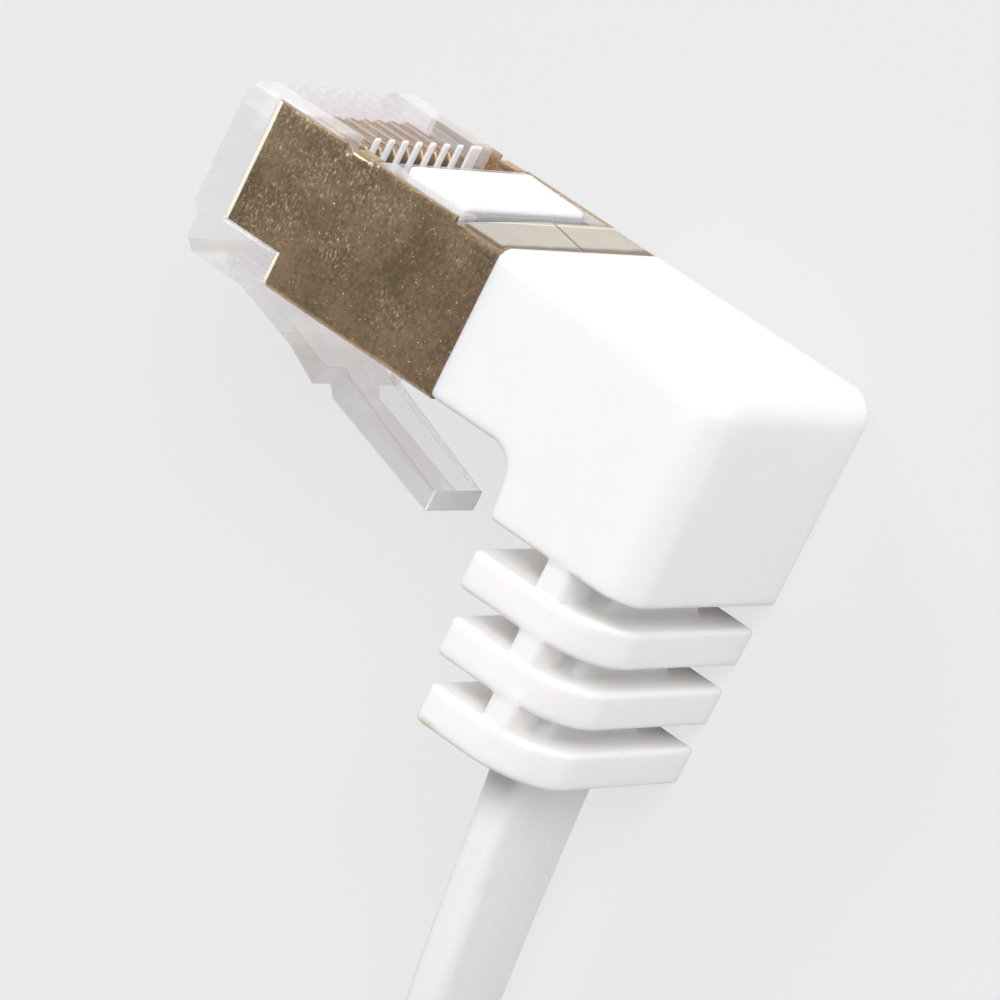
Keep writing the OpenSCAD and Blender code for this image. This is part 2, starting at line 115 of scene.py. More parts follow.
class Field:
    """A number, colour or vector that varies over a surface: one output socket of a finish's nodes."""

    def __init__(self, finish, socket):
        self.finish = finish
        self.socket = socket

    def __add__(self, other):
        return self.finish.maths("ADD", self, other)

    def __radd__(self, other):
        return self.finish.maths("ADD", other, self)

    def __sub__(self, other):
        return self.finish.maths("SUBTRACT", self, other)

    def __rsub__(self, other):
        return self.finish.maths("SUBTRACT", other, self)

    def __mul__(self, other):
        return self.finish.maths("MULTIPLY", self, other)

    def __rmul__(self, other):
        return self.finish.maths("MULTIPLY", other, self)

    def __gt__(self, other):
        return self.finish.maths("GREATER_THAN", self, other)

    def __lt__(self, other):
        return self.finish.maths("LESS_THAN", self, other)


class Finish:
    """A material, with one way to add a node to it."""

    def __init__(self, tree):
        self.tree = tree
        self.tree.nodes.clear()

    def node(self, kind, settings=None, sockets=None, output=0):
        made = self.tree.nodes.new("ShaderNode" + kind)
        for name, value in (settings or {}).items():
            setattr(made, name, value)
        for name, value in (sockets or {}).items():
            if isinstance(value, Field):
                self.tree.links.new(value.socket, made.inputs[name])
            else:
                made.inputs[name].default_value = value
        return Field(self, made.outputs[output]) if made.outputs else None

    def maths(self, operation, first, second=0.0):
        return self.node("Math", {"operation": operation}, {0: first, 1: second})

    def place(self):
        """Where a point of the surface is, in the piece's own frame."""
        return self.node("TexCoord", output="Object")

    def axes(self):
        parts = self.node("SeparateXYZ", sockets={0: self.place()})
        return [Field(self, socket) for socket in parts.socket.node.outputs]

    def noise(self, size_mm, detail=2.0, roughness=0.5, stretch=(1, 1, 1)):
        """Cloudy noise from 0 to 1 with blots of about this size."""
        scale = tuple(1 / (s * MM) for s in stretch)
        where = self.node("VectorMath", {"operation": "MULTIPLY"}, {0: self.place(), 1: scale})
        sockets = {"Vector": where, "Scale": 1 / size_mm, "Detail": detail, "Roughness": roughness}
        return self.node("TexNoise", sockets=sockets)

    def specks(self, spacing_mm, radius_mm):
        """1 in small round spots, one in each cell of this size, and 0 between them."""
        scale = 1 / (spacing_mm * MM)
        where = self.node("VectorMath", {"operation": "SCALE"}, {0: self.place(), "Scale": scale})
        distance = self.node("TexVoronoi", sockets={"Vector": where, "Scale": 1.0}, output="Distance")
        return self.ramp(distance, radius_mm / spacing_mm, radius_mm / spacing_mm * 0.5)

    def ramp(self, value, low, high):
        """0 where the value is low, 1 where it is high, and smooth between."""
        return self.node(
            "MapRange",
            {"interpolation_type": "SMOOTHSTEP"},
            {"Value": value, "From Min": low, "From Max": high},
        )

    def mix(self, share, first, second):
        """A colour between two colours."""
        return self.node("Mix", {"data_type": "RGBA"}, {"Factor": share, 6: first, 7: second}, output=2)

    def bump(self, height, depth_mm, strength=1.0):
        return self.node("Bump", sockets={"Height": height, "Distance": depth_mm * MM, "Strength": strength})

    def principled(self, sockets):
        return self.node("BsdfPrincipled", sockets=sockets)

    def show(self, shader):
        self.node("OutputMaterial", sockets={"Surface": shader})


def new_finish(name):
    material = bpy.data.materials.new(name)
    material.use_nodes = True
    return material, Finish(material.node_tree)


def grey(level):
    return (level, level, level, 1)


# Finishes

COMB_X = NOSE_HIGH.x - 4.8
TROUGH_H = 1.3
NOTCH_X = SHIELD_HIGH.x - 2.8
NOTCH_Y = SHIELD_HIGH.y - 1.5
BAND_LEN = 2.4


def seam_middle(x):
    """Where the skewed seam of the shield's band is, across the plug."""
    return -0.2 - 0.46 * x


def boot_white():
    material, f = new_finish("boot_white")
    cloud = f.noise(3.0)
    grain = f.noise(0.12, detail=3)
    specks = f.specks(2.6, 0.05)
    clean = f.mix(cloud, (0.905, 0.888, 0.876, 1), (0.885, 0.866, 0.852, 1))
    x, y, z = f.axes()
    along, down = x + 6.1 * MM, (y - (BOOT_HIGH.y - 0.1) * MM) * 3.0
    smear = f.ramp(f.maths("SQRT", along * along + down * down), 1.0 * MM, 0.2 * MM) * (z > 5.2 * MM)
    clean = f.mix(smear * f.ramp(f.noise(0.3, detail=3), 0.35, 0.6) * 0.5, clean, (0.55, 0.42, 0.28, 1))
    f.show(f.principled({
        "Base Color": f.mix(specks * 0.5, clean, (0.32, 0.26, 0.2, 1)),
        "Roughness": 0.42 + 0.12 * cloud,
        "Normal": f.bump(grain, 0.012, 0.5),
        "Subsurface Weight": 0.5,
        "Subsurface Radius": (1.0, 0.75, 0.6),
        "Subsurface Scale": 1.2 * MM,
        "IOR": 1.5,
    }))
    return material


def jacket_white():
    material, f = new_finish("jacket_white")
    cloud = f.noise(4.0)
    streaks = f.noise(0.5, detail=3, stretch=(1, 12, 1))
    specks = f.specks(3.1, 0.05)
    clean = f.mix(streaks, (0.87, 0.85, 0.86, 1), (0.80, 0.78, 0.79, 1))
    stained = f.mix(f.ramp(cloud, 0.62, 0.8) * 0.5, clean, (0.78, 0.7, 0.6, 1))
    f.show(f.principled({
        "Base Color": f.mix(specks * 0.6, stained, (0.3, 0.25, 0.2, 1)),
        "Roughness": 0.5 + 0.14 * streaks,
        "Normal": f.bump(streaks, 0.02, 0.4),
        "IOR": 1.5,
    }))
    return material


def pad_white():
    material, f = new_finish("pad_white")
    grain = f.noise(0.2)
    f.show(f.principled({
        "Base Color": f.mix(grain, (0.92, 0.92, 0.915, 1), (0.88, 0.88, 0.88, 1)),
        "Roughness": 0.35 + 0.15 * grain,
        "Normal": f.bump(grain, 0.01, 0.4),
        "IOR": 1.5,
    }))
    return material


def mould_white():
    material, f = new_finish("mould_white")
    grain = f.noise(0.4)
    f.show(f.principled({
        "Base Color": f.mix(grain, (0.8, 0.8, 0.78, 1), (0.72, 0.72, 0.7, 1)),
        "Roughness": 0.5 + 0.2 * grain,
        "Normal": f.bump(grain, 0.02, 0.5),
    }))
    return material


def gold(name, bright, dull, roughness):
    material, f = new_finish(name)
    mottle = f.noise(0.16, detail=8, roughness=0.65)
    scratch = f.noise(0.2, detail=4, roughness=0.7, stretch=(1, 3, 1))
    grit = f.ramp(f.noise(0.12, detail=2), 0.68, 0.75)
    worn = f.ramp(0.45 * f.noise(2.5) + 0.55 * mottle, 0.34, 0.66)
    f.show(f.principled({
        "Base Color": f.mix(worn, dull, bright),
        "Metallic": 1.0,
        "Roughness": roughness + 0.2 * scratch - 0.1 * grit,
        "Normal": f.bump(mottle + 0.6 * scratch + 0.8 * grit, 0.015, 0.8),
    }))
    return material


def shield_gold():
    """Scuffed gold plating, smooth on the seamed band, with painted highlights along the upright cut edges,
    painted glints at the dents and painted shade at the band's fold and boot edge.
    """
    material, f = new_finish("shield_gold")
    x, y, z = f.axes()
    mottle = f.noise(0.16, detail=8, roughness=0.65)
    scratch = f.noise(0.2, detail=4, roughness=0.7, stretch=(1, 3, 1))
    grit = f.ramp(f.noise(0.12, detail=2), 0.68, 0.75)
    flat = f.ramp(f.maths("ABSOLUTE", z), (SHIELD_HIGH.z - 0.1) * MM, (SHIELD_HIGH.z - 0.3) * MM)
    band = f.ramp(y, 0.25 * MM, 0.02 * MM) * (x < (BAND_LEN + 0.1) * MM) * flat
    seam = f.ramp(f.maths("ABSOLUTE", z - seam_middle(x * (1 / MM)) * MM), 0.07 * MM, 0.03 * MM) * band
    # Painted highlight: a pale, barely metallic line along the upright front edge and the notch edge.
    front = f.ramp(x, (SHIELD_HIGH.x - 0.19) * MM, (SHIELD_HIGH.x - 0.13) * MM)
    notch = f.ramp(x, (NOTCH_X - 0.17) * MM, (NOTCH_X - 0.11) * MM) * (y > NOTCH_Y * MM)
    edge = f.maths("MAXIMUM", front, notch)
    # Painted glints: pale mottled spots near the dents and the crimp.
    for at_x, at_y, radius in ((6.8, 0.16, 0.14), (6.45, 0.08, 0.1), (7.9, 0.35, 0.08), (2.1, 0.05, 0.1)):
        away_x, away_y = x - at_x * MM, y - at_y * MM
        away = f.maths("SQRT", away_x * away_x + away_y * away_y)
        edge = f.maths("MAXIMUM", edge, f.ramp(away, radius * MM, radius * 0.4 * MM) * mottle * 1.5)
    worn = f.ramp(0.4 * f.noise(2.5) + 0.6 * mottle, 0.36, 0.64)
    # Scuff patches are real wear, but a slope towards the nose and the top edge also makes them a painted
    # soft highlight there.
    scuff_patches_with_painted_sheen = f.ramp(f.noise(1.8, detail=3) + (x - y) * (0.02 / MM), 0.45, 0.7)
    rubbed_with_painted_sheen = f.ramp(f.noise(0.11, detail=5, roughness=0.6, stretch=(1, 2, 1)), 0.48, 0.72) * scuff_patches_with_painted_sheen
    plated = f.mix(worn, (0.40, 0.285, 0.17, 1), (0.74, 0.525, 0.33, 1))
    plated = f.mix(rubbed_with_painted_sheen * 0.75, plated, (1.0, 0.85, 0.6, 1))
    # Painted shade: the fold at the band's corner is darkened and roughened to damp its highlight.
    corner = f.ramp(y, 0.6 * MM, 0.15 * MM) * f.ramp(x, 2.6 * MM, 1.7 * MM) * (1.0 - band)
    plated = f.mix(corner * 0.85, plated, (0.17, 0.14, 0.1, 1))
    smooth = f.mix(worn, (0.57, 0.515, 0.43, 1), (0.65, 0.59, 0.50, 1))
    # Painted shade: dark brown along the band's edge where it meets the boot.
    painted_edge_shade = f.ramp(x + z * 0.02 - 0.35 * MM * f.noise(1.4, detail=3), 0.25 * MM, -0.05 * MM)
    smooth = f.mix(painted_edge_shade * 0.9, smooth, (0.17, 0.12, 0.07, 1))
    colour = f.mix(seam, f.mix(band, plated, smooth), (0.12, 0.09, 0.05, 1))
    f.show(f.principled({
        "Base Color": f.mix(edge, colour, (1.0, 0.95, 0.78, 1)),
        "Metallic": 1.0 - 0.9 * edge,
        "Roughness": 0.2 + 0.2 * scratch - 0.1 * grit + 0.2 * rubbed_with_painted_sheen + 0.25 * corner,
        "Normal": f.bump((mottle + 0.6 * scratch + 0.8 * grit) * (1.0 - 0.8 * band), 0.015, 0.8),
    }))
    return material


def cut_edge_gold():
    material, f = new_finish("cut_edge_gold")
    x, y, _ = f.axes()
    wear = f.noise(0.4, detail=3)
    bright = f.mix(wear, (0.95, 0.78, 0.48, 1), (0.72, 0.55, 0.3, 1))
    # Painted shade: the cut edges are darker along the top fold and at the boot end.
    low = f.ramp(y, 1.0 * MM, 3.0 * MM) * f.ramp(x, 0.2 * MM, 1.0 * MM)
    f.show(f.principled({
        "Base Color": f.mix(low, (0.5, 0.37, 0.24, 1), bright),
        "Metallic": 1.0,
        "Roughness": 0.22 + 0.2 * wear,
    }))
    return material


def clear_plastic():
    """Glassy plastic: clearest at the comb, cloudy in the nose, and painted frosted white on the fin ends
    and the tab end to stand for light carried through the plastic.
    """
    material, f = new_finish("clear_plastic")
    x, y, z = f.axes()
    flow = f.noise(1.6, detail=2)
    scuff = f.noise(0.3, detail=4, roughness=0.7)
    uneven = f.bump(flow, 0.02, 0.25)
    on_latch = y > (SHIELD_HIGH.y + 0.1) * MM
    across = f.maths("ABSOLUTE", z)
    on_comb = (x > (COMB_X - 0.1) * MM) * (y < 2.1 * MM) * (across < 4.2 * MM)
    on_wall = (y < 0.9 * MM) * f.ramp(across, 4.1 * MM, 4.3 * MM)
    in_nose = x > (NOTCH_X - 0.05) * MM
    glass = f.principled({
        "Base Color": (0.985, 0.975, 0.985, 1),
        "Roughness": 0.01 + 0.03 * f.ramp(scuff, 0.5, 0.75),
        "Normal": uneven,
        "Transmission Weight": 1.0,
        "IOR": 1.49,
    })
    light_passes = f.node("BsdfTransparent", sockets={"Color": (0.985, 0.975, 0.98, 1)})
    gloss = f.principled({
        "Base Color": grey(0.95), "Metallic": 1.0, "Roughness": 0.05 + 0.1 * scuff, "Normal": uneven,
    })
    shadow = f.node("LightPath", output="Is Shadow Ray")
    outside = 1.0 - f.node("NewGeometry", output="Backfacing")
    shine = f.node("Fresnel", sockets={"IOR": 1.45}) * outside * (1.0 - shadow)
    shine = shine * (1.0 - 0.8 * on_comb) * (1.0 - 0.7 * on_latch)
    film = f.node("MixShader", sockets={0: shine, 1: light_passes, 2: gloss})
    plain = f.maths("MAXIMUM", shadow, 0.75 - 0.2 * on_latch + 0.2 * f.maths("MAXIMUM", on_comb, in_nose))
    clear = f.node("MixShader", sockets={0: plain, 1: glass, 2: film})
    frosted = f.principled({
        "Base Color": f.mix(scuff, (0.98, 0.97, 0.97, 1), (0.94, 0.93, 0.93, 1)),
        "Roughness": 0.3 + 0.2 * scuff,
        "IOR": 1.5,
    })
    # Painted light: the fin ends and the tab end are made frosted white to stand for light carried through
    # the clear plastic.
    fin_end = f.ramp(x, (COMB_X + 0.1) * MM, (COMB_X + 0.04) * MM) * (x > (COMB_X - 0.12) * MM)
    fin_end = fin_end * (y < TROUGH_H * MM) * (z < 3.6 * MM) * (z > -4.6 * MM)
    fin_top = f.ramp(y, -0.08 * MM, -0.17 * MM) * on_comb
    tab_end = f.ramp(x, (LATCH_LOW.x + 0.1) * MM, (LATCH_LOW.x + 0.05) * MM) * on_latch
    cloudy = 0.03 + 0.05 * f.ramp(scuff, 0.45, 0.75) + 0.08 * in_nose * (1.0 - on_comb) + 0.12 * fin_top
    cloudy = cloudy + 0.24 * on_wall - 0.02 * on_latch
    painted_light_ends = f.maths("MAXIMUM", fin_end, 0.8 * tab_end)
    f.show(f.node("MixShader", sockets={0: f.maths("MAXIMUM", painted_light_ends, cloudy), 1: clear, 2: frosted}))
    return material


TIE_THREAD = 0.5


def tie_white():
    material, f = new_finish("tie_white")
    x, y, z = f.axes()
    turn = 2 * math.pi / (TIE_THREAD * MM)
    weave = f.maths("SINE", (x + z) * turn) * f.maths("SINE", y * turn)
    f.show(f.principled({
        "Base Color": f.mix(f.noise(1.5), (0.84, 0.84, 0.85, 1), (0.74, 0.74, 0.76, 1)),
        "Roughness": 0.75 + 0.1 * weave,
        "Normal": f.bump(weave, 0.03, 0.6),
    }))
    return material


def wire_finish(i, colour, stripe):
    material, f = new_finish(f"wire_{i}")
    tone = f.noise(0.6)
    x, y, _ = f.axes()
    ring = f.node("Math", {"operation": "FRACT"}, {0: (x + y) * (1 / (2.4 * MM))})
    plain = f.mix(tone, (*colour, 1), (*(c * 0.88 for c in colour), 1))
    f.show(f.principled({
        "Base Color": f.mix(f.ramp(ring, 0.72, 0.76), plain, (*stripe, 1)),
        "Roughness": 0.35 + 0.15 * tone,
        "IOR": 1.5,
    }))
    return material


ORANGE = (0.75, 0.24, 0.03)
GREEN = (0.06, 0.33, 0.12)
BLUE = (0.05, 0.14, 0.55)
BROWN = (0.22, 0.1, 0.05)
PALE = (0.82, 0.8, 0.76)
WIRE_COLOURS = [
    (PALE, ORANGE), (ORANGE, ORANGE), (PALE, GREEN), (BLUE, BLUE),
    (PALE, BLUE), (GREEN, GREEN), (PALE, BROWN), (BROWN, BROWN),
]

BOOT_WHITE = boot_white()
JACKET_WHITE = jacket_white()
PAD_WHITE = pad_white()
MOULD_WHITE = mould_white()
TIE_WHITE = tie_white()
SHIELD_GOLD = shield_gold()
EDGE_GOLD = cut_edge_gold()
CONTACT_GOLD = gold("contact_gold", (0.52, 0.37, 0.21, 1), (0.34, 0.24, 0.13, 1), 0.34)
CLEAR = clear_plastic()
WIRES = [wire_finish(i, *WIRE_COLOURS[i - 1]) for i in WAYS]


# Making meshes and pieces

def new_mesh(name, points, faces):
    mesh = bpy.data.meshes.new(name)
    mesh.from_pydata([tuple(p) for p in points], [], [tuple(int(v) for v in face) for face in faces])
    mesh.polygons.foreach_set("use_smooth", [True] * len(mesh.polygons))
    mesh.update()
    return mesh


def new_piece(name, mesh, material, body, nodes, place=Matrix.Identity(4)):
    """A piece that shows this mesh, rides on a body and stands for its CAD nodes."""
    if not mesh.materials:
        mesh.materials.append(material)
    piece = bpy.data.objects.new(name, mesh)
    piece.matrix_world = place
    bpy.context.scene.collection.objects.link(piece)
    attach(piece, body)
    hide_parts(*nodes)
    return piece


def swept(path, section, twist=lambda share: 0.0):
    """Points and faces of a tube: the section, given upwards and to the left of the way, along a path."""
    n, sides = len(path), len(section)
    ways = np.gradient(path, axis=0)
    points = []
    for k in range(n):
        way = Vector(ways[k]).normalized()
        left = Vector((0, 0, 1)).cross(way).normalized()
        turn = Matrix.Rotation(twist(k / (n - 1)), 3, way)
        up = turn @ way.cross(left)
        left = turn @ left
        points += [Vector(path[k]) + u * up + v * left for u, v in section]
    faces = []
    for k in range(n - 1):
        for s in range(sides):
            a, b = k * sides + s, k * sides + (s + 1) % sides
            faces.append((b, a, a + sides, b + sides))
    faces.append(tuple(range(sides)))
    faces.append(tuple(range((n - 1) * sides, n * sides))[::-1])
    return points, faces


def smooth_route(points, steps):
    """A smooth curve through given points."""
    p = np.array(points, float)
    p = np.vstack([2 * p[0] - p[1], p, 2 * p[-1] - p[-2]])
    t = np.linspace(0, 1, steps, endpoint=False)[:, None]
    found = []
    for a, b, c, d in zip(p, p[1:], p[2:], p[3:]):
        found.append(0.5 * (2 * b + (c - a) * t + (2 * a - 5 * b + 4 * c - d) * t**2
                            + (3 * b - a - 3 * c + d) * t**3))
    return np.vstack([*found, p[-2:-1]])


# The flat cable: a lead out of the near boot, a coil that winds inwards and a tail up into the far boot

CABLE_W = 6.2
CABLE_T = 1.6
CABLE_ROUND = 0.5
CABLE_BACK = -8.6
LEAD_ROUTE = [(0, 0, 0), (-0.3, 3, 0), (-0.9, 10, 0.1), (-1.7, 19, 0.4), (-2.8, 28, 0.8), (-4.2, 38, 1)]
COIL_RADIUS = 35.8
COIL_PITCH = 2.25
COIL_TURNS = 4.63
COIL_START = math.radians(8)
COIL_LIFT = 0.6
COIL_SAG = 0.25
COIL_EASE = 0.04
COIL_STEPS = 72
LEAD_ROWS = 60
LEAD_TWIST = math.radians(-7)
TAIL_RADIUS = 13
TAIL_TURN = math.radians(125.2)
TAIL_RUN = 3
IN_BOOT = 3.0


def circle_point(centre, radius, angle):
    return centre + radius * np.array([math.cos(angle), math.sin(angle), 0])


def cable_routes():
    """The cable's middle line in millimetres, the way that it ends and the middle of its coil."""
    exit_point = np.array((near_origin + Vector((CABLE_BACK, BOOT_HIGH.y, 0)) * MM) / MM)
    coil_z = COIL_LIFT + CABLE_W / 2
    drop = np.array([1, 1, coil_z - exit_point[2]])
    lead_points = [exit_point + np.array(p) * drop for p in LEAD_ROUTE]
    lead = smooth_route(lead_points, 10)
    centre = circle_point(lead_points[-1], -COIL_RADIUS, COIL_START)
    stop = COIL_START + 2 * math.pi * COIL_TURNS
    inner = COIL_RADIUS - COIL_PITCH * COIL_TURNS
    shares = np.linspace(0, 1, round(COIL_STEPS * COIL_TURNS) + 1)

    def coil_reach(s):
        """Radius of the round coil, a little inside the CAD's, which has straight sides."""
        eased = min(1, s / COIL_EASE, (1 - s) / COIL_EASE)
        return COIL_RADIUS + (inner - COIL_RADIUS) * s - COIL_SAG * eased

    coil = np.array([
        circle_point(centre, coil_reach(s), COIL_START + (stop - COIL_START) * s) for s in shares
    ])
    tail_centre = circle_point(centre, inner - TAIL_RADIUS, stop)
    rise = exit_point[2] - coil_z
    tail = np.array([
        circle_point(tail_centre, TAIL_RADIUS, stop + TAIL_TURN * s)
        + np.array([0, 0, rise * (1 - math.cos(math.pi * s)) / 2])
        for s in np.linspace(0, 1, 25)
    ])
    heading = stop + TAIL_TURN
    way = np.array([-math.sin(heading), math.cos(heading), 0])
    run = np.array([tail[-1] + way * TAIL_RUN * s for s in (0.33, 0.67, 1)])
    return np.vstack([lead, coil[1:], tail[1:], run]), way, centre


def stadium_outline():
    found = []
    for k, (up, side) in enumerate(((1, -1), (1, 1), (-1, 1), (-1, -1))):
        for s in range(5):
            angle = math.radians(-90 + 90 * k + 22.5 * s)
            found.append((
                up * (CABLE_W / 2 - CABLE_ROUND) + CABLE_ROUND * math.cos(angle),
                side * (CABLE_T / 2 - CABLE_ROUND) + CABLE_ROUND * math.sin(angle),
            ))
    return found


def make_cable(route, way):
    inside = np.array([0, IN_BOOT, 0])
    path = np.vstack([route[:1] - inside, route, route[-1:] + way * IN_BOOT])
    lead_share = LEAD_ROWS / len(path)

    def twist(share):
        along = min(share / lead_share, 1)
        return LEAD_TWIST * math.sin(math.pi * along) ** 2

    points, faces = swept(path * MM, [(u * MM, v * MM) for u, v in stadium_outline()], twist=twist)
    mesh = new_mesh("flat_cable", points, faces)
    return new_piece(
        "flat_cable", mesh, JACKET_WHITE, ROOT, ["cable_lead", "cable_coil", "cable_tail"]
    )


middle_line, end_way, coil_middle = cable_routes()
cable_route = middle_line * MM
cable = make_cable(middle_line, end_way)


# Moulded pieces, as the surface where a distance is nought

def joined(first, second, blend):
    """The nearer of two distances, with a fillet where they meet."""
    share = np.maximum(blend - np.abs(first - second), 0) / blend
    return np.minimum(first, second) - share * share * blend / 4


def cut(first, second, blend):
    """The further of two distances, with the edge between them rounded off."""
    return -joined(-first, -second, blend)


def rounded_rectangle(x, y, low, high, radius):
    """Distance in the plane from a rectangle between two corners, with round corners."""
    qx = np.abs(x - (low[0] + high[0]) / 2) - (high[0] - low[0]) / 2 + radius
    qy = np.abs(y - (low[1] + high[1]) / 2) - (high[1] - low[1]) / 2 + radius
    return np.hypot(np.maximum(qx, 0), np.maximum(qy, 0)) + np.minimum(np.maximum(qx, qy), 0) - radius


def inset(corners, depth):
    """The corners of a polygon, given clockwise as seen with y down, moved inwards."""
    points = [np.array(c, float) for c in corners]
    found = []
    for before, here, after in zip([points[-1], *points[:-1]], points, [*points[1:], points[0]]):
        normals = []
        for way in (here - before, after - here):
            normals.append(np.array([-way[1], way[0]]) / np.hypot(*way))
        found.append(here + depth * sum(normals) / (1 + normals[0] @ normals[1]))
    return found


def outline(x, y, corners, radius=0.0):
    """Distance in the plane from a polygon with its outer corners round."""
    corners = inset(corners, radius) if radius else corners
    nearest = np.inf
    inside = False
    for (ax, ay), (bx, by) in zip(corners, [*corners[1:], corners[0]]):
        side_x, side_y = bx - ax, by - ay
        along = np.clip(((x - ax) * side_x + (y - ay) * side_y) / (side_x**2 + side_y**2), 0, 1)
        nearest = np.minimum(nearest, np.hypot(x - ax - side_x * along, y - ay - side_y * along))
        if side_y:
            inside = inside ^ (((ay > y) != (by > y)) & (x < ax + side_x * (y - ay) / side_y))
    return np.where(inside, -nearest, nearest) - radius


def extruded(flat, z, half, rim):
    """Distance from a flat outline that reaches half a thickness to each side, with a round rim."""
    qx = flat + rim
    qy = np.abs(z) - half + rim
    return np.hypot(np.maximum(qx, 0), np.maximum(qy, 0)) + np.minimum(np.maximum(qx, qy), 0) - rim


def block(x, y, z, low, high, radius):
    """Distance from a box between two corners with all its edges round."""
    flat = rounded_rectangle(x, y, low, high, radius)
    return extruded(flat, z - (low[2] + high[2]) / 2, (high[2] - low[2]) / 2, radius)


def moulded(name, distance, low, high, cell):
    """A mesh of the surface where distance(x, y, z) is nought, with one point in each crossed grid cell."""
    axes = [np.arange(a - 2 * cell, b + 3 * cell, cell) for a, b in zip(low, high)]
    grid = np.meshgrid(*axes, indexing="ij", sparse=True)
    field = np.broadcast_to(distance(*grid), tuple(len(a) for a in axes))
    shape = tuple(n - 1 for n in field.shape)
    total = np.zeros(shape + (3,))
    count = np.zeros(shape)
    quads = []
    for axis in range(3):
        start = [slice(None)] * 3
        stop = [slice(None)] * 3
        start[axis], stop[axis] = slice(None, -1), slice(1, None)
        a, b = field[tuple(start)], field[tuple(stop)]
        crossed = np.argwhere((a < 0) != (b < 0))
        key = tuple(crossed.T)
        share = a[key] / (a[key] - b[key])
        point = crossed.astype(float)
        point[:, axis] += share
        side, across = [k for k in range(3) if k != axis]
        corners = []
        for i, j in ((0, 0), (1, 0), (1, 1), (0, 1)):
            owner = crossed.copy()
            owner[:, side] -= i
            owner[:, across] -= j
            np.add.at(total, tuple(owner.T), point)
            np.add.at(count, tuple(owner.T), 1)
            corners.append(np.ravel_multi_index(tuple(owner.T), shape))
        quad = np.stack(corners, 1)
        flip = (a[key] < 0) == (axis == 1)
        quad[flip] = quad[flip][:, ::-1]
        quads.append(quad)
    used = np.flatnonzero(count.ravel())
    number = np.full(count.size, -1)
    number[used] = np.arange(len(used))
    start = np.array([a[0] for a in axes])
    points = total.reshape(-1, 3)[used] / count.ravel()[used, None] * cell + start
    nudge = 0.02 * cell
    for _ in range(4):
        d = distance(*points.T)
        slope = np.stack([
            (distance(*(points + step).T) - distance(*(points - step).T)) / (2 * nudge)
            for step in np.eye(3) * nudge
        ], 1)
        steep = np.maximum((slope**2).sum(1), 0.25)
        points = points - np.clip(d / steep, -cell, cell)[:, None] * slope
    return new_mesh(name, points * MM, number[np.vstack(quads)])


# The boot and its strain relief

NECK_LEN = 4.3
NECK_FOOT = 6.55
NECK_ROUND = 1.1
NECK_LEAN = 0.12
BLOCK_FOOT = 9.2
REAR_ROUND = 1.5
REAR_TOP_ROUND = 1.25
TOP_ROUND = 0.6
EDGE_ROUND = 0.3
RIB_T = 1.65
RIB_PITCH = 2.7
RIB_GAP = 1.3
RIB_FRONT = 4.65
RIB_STEP = 0.45
RIB_INSET = 0.3
RIB_ROUND = 3.0
RIB_NOSE = 0.4
RIB_EDGE = 0.15
RIB_RIM = 0.2
WEB_T = 1.2
WEB_INSET = 0.1
SLEEVE_WALL = 0.4
MOULD_FIT = 0.03


def step_between(value, low, high):
    share = np.clip((value - low) / (high - low), 0, 1)
    return share * share * (3 - 2 * share)


